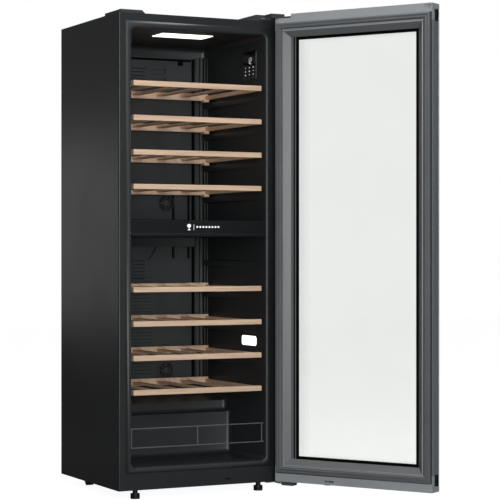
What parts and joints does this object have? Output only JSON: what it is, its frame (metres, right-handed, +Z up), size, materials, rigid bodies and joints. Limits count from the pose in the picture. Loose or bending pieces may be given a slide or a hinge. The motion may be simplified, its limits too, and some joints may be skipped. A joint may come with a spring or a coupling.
{
  "type": "wine cooler",
  "caption": "Tall free-standing wine cooler with two cooled zones, sliding slatted wooden shelves and a hinged glazed door standing open.",
  "frame": {"origin": "on the floor under the centre of the cabinet's body, the door not counted", "axes": "+Z up, +Y to the back of the cabinet, +X to the right as seen facing the door"},
  "size_m": [0.8523, 1.0009, 1.516],
  "materials": {
    "cabinet_paint": "black satin coil-coated steel",
    "rear_sheet": "dark coated sheet",
    "base_steel": "galvanised sheet",
    "foam": "rigid polyurethane foam",
    "liner_plastic": "dark satin vacuum-formed plastic",
    "divider_plastic": "dark satin moulded plastic",
    "duct_plastic": "dark satin moulded plastic",
    "evaporator_aluminium": "bare sheet",
    "fan_plastic": "black moulded plastic",
    "lamp_white": "opal diffuser, lit",
    "lamp_tray": "white moulded plastic",
    "panel_black": "gloss black touch panel",
    "board_green": "circuit board",
    "guard_wire": "grey coated wire",
    "compressor_paint": "black enamel",
    "rubber_black": "matt rubber",
    "condenser_metal": "fins on tube",
    "copper": "drawn copper",
    "drain_plastic": "pale tube",
    "tray_plastic": "black moulded plastic",
    "grille_plastic": "black moulded plastic",
    "hinge_steel": "zinc plated",
    "cover_plastic": "dark grey satin plastic",
    "foot_plastic": "black rubber-soled foot",
    "roller_plastic": "black nylon",
    "beech": "sanded, oiled beech",
    "glass_outer": "clear tempered with dark edge",
    "glass_inner": "clear",
    "spacer_metal": "anodised grey",
    "profile_dark": "dark anodised",
    "door_grey": "grey satin plastic",
    "gasket_rubber": "soft grey seal",
    "bush_plastic": "acetal",
    "closer_plastic": "dark plastic",
    "lock_metal": "nickel plated"
  },
  "bodies": {
    "cabinet": {"left_side_panel": "cabinet_paint", "right_side_panel": "cabinet_paint", "top_panel": "cabinet_paint", "rear_panel": "rear_sheet", "base_pan": "base_steel", "front_plinth": "cabinet_paint", "insulation_foam": "foam", "inner_liner": "liner_plastic", "zone_divider": "divider_plastic", "divider_trim": "divider_plastic", "upper_duct_cover": "duct_plastic", "lower_duct_cover": "duct_plastic", "evaporator_plates": "evaporator_aluminium", "fan_frames": "fan_plastic", "ceiling_lamp_lens": "lamp_white", "side_lamp_lens": "lamp_white", "lamp_housings": "lamp_tray", "control_panel": "panel_black", "control_board": "board_green", "wire_guard": "guard_wire", "compressor": "compressor_paint", "compressor_mounts": "rubber_black", "condenser": "condenser_metal", "refrigerant_pipes": "copper", "drain_tube": "drain_plastic", "evaporation_tray": "tray_plastic", "rear_grille": "grille_plastic", "power_inlet": "grille_plastic", "top_hinge_bracket": "hinge_steel", "bottom_hinge_bracket": "hinge_steel", "hinge_screws": "hinge_steel", "top_hinge_cover": "cover_plastic", "top_left_cap": "cover_plastic", "roller_pins": "hinge_steel"},
    "door": {"door_outer_glass": "glass_outer", "door_inner_panes": "glass_inner", "glazing_spacers": "spacer_metal", "door_side_profiles": "profile_dark", "door_end_caps": "door_grey", "door_inner_frame": "door_grey", "door_gasket": "gasket_rubber", "hinge_bushes": "bush_plastic", "door_closer_cam": "closer_plastic", "door_lock_barrel": "lock_metal"},
    "door_lock": {"door_lock_cam": "lock_metal"},
    "upper_fan": {"upper_fan_wheel": "fan_plastic"},
    "lower_fan": {"lower_fan_wheel": "fan_plastic"},
    "condenser_fan": {"condenser_fan_wheel": "fan_plastic"},
    "foot_left": {"front_foot_left": "foot_plastic"},
    "foot_right": {"front_foot_right": "foot_plastic"},
    "roller_left": {"rear_roller_left": "roller_plastic"},
    "roller_right": {"rear_roller_right": "roller_plastic"},
    "shelf_1": {"shelf_1": "beech"},
    "shelf_2": {"shelf_2": "beech"},
    "shelf_3": {"shelf_3": "beech"},
    "shelf_4": {"shelf_4": "beech"},
    "shelf_5": {"shelf_5": "beech"},
    "shelf_6": {"shelf_6": "beech"},
    "shelf_7": {"shelf_7": "beech"},
    "shelf_8": {"shelf_8": "beech"}
  },
  "joints": [
    {"name": "door_hinge", "type": "hinge", "parent": "cabinet", "child": "door", "pos_m": [0.2684, -0.2792, 0.767], "axis": [0, 0, 1], "range_deg": [-121.7, 0]},
    {"name": "door_lock_turn", "type": "hinge", "parent": "door", "child": "door_lock", "pos_m": [0.35888, -0.42665, 0.0445], "axis": [0, 0, 1], "range_deg": [-90, 0]},
    {"name": "shelf_1_slide", "type": "slide", "parent": "cabinet", "child": "shelf_1", "axis": [0, -1, 0], "range_m": [0, 0.28]},
    {"name": "shelf_2_slide", "type": "slide", "parent": "cabinet", "child": "shelf_2", "axis": [0, -1, 0], "range_m": [0, 0.28]},
    {"name": "shelf_3_slide", "type": "slide", "parent": "cabinet", "child": "shelf_3", "axis": [0, -1, 0], "range_m": [0, 0.28]},
    {"name": "shelf_4_slide", "type": "slide", "parent": "cabinet", "child": "shelf_4", "axis": [0, -1, 0], "range_m": [0, 0.28]},
    {"name": "shelf_5_slide", "type": "slide", "parent": "cabinet", "child": "shelf_5", "axis": [0, -1, 0], "range_m": [0, 0.28]},
    {"name": "shelf_6_slide", "type": "slide", "parent": "cabinet", "child": "shelf_6", "axis": [0, -1, 0], "range_m": [0, 0.28]},
    {"name": "shelf_7_slide", "type": "slide", "parent": "cabinet", "child": "shelf_7", "axis": [0, -1, 0], "range_m": [0, 0.28]},
    {"name": "shelf_8_slide", "type": "slide", "parent": "cabinet", "child": "shelf_8", "axis": [0, -1, 0], "range_m": [0, 0.28]},
    {"name": "upper_fan_spin", "type": "hinge", "parent": "cabinet", "child": "upper_fan", "pos_m": [0.078, 0.1945, 0.92535], "axis": [0, -1, 0], "continuous": true},
    {"name": "lower_fan_spin", "type": "hinge", "parent": "cabinet", "child": "lower_fan", "pos_m": [0.078, 0.1945, 0.362], "axis": [0, -1, 0], "continuous": true},
    {"name": "condenser_fan_spin", "type": "hinge", "parent": "cabinet", "child": "condenser_fan", "pos_m": [-0.051, 0.149, 0.105], "axis": [1, 0, 0], "continuous": true},
    {"name": "foot_left_screw_out", "type": "slide", "parent": "cabinet", "child": "foot_left", "axis": [0, 0, -1], "range_m": [0, 0.012]},
    {"name": "foot_right_screw_out", "type": "slide", "parent": "cabinet", "child": "foot_right", "axis": [0, 0, -1], "range_m": [0, 0.012]},
    {"name": "roller_left_roll", "type": "hinge", "parent": "cabinet", "child": "roller_left", "pos_m": [-0.222, 0.1275, 0.011], "axis": [1, 0, 0], "continuous": true},
    {"name": "roller_right_roll", "type": "hinge", "parent": "cabinet", "child": "roller_right", "pos_m": [0.222, 0.1275, 0.011], "axis": [1, 0, 0], "continuous": true}
  ]
}
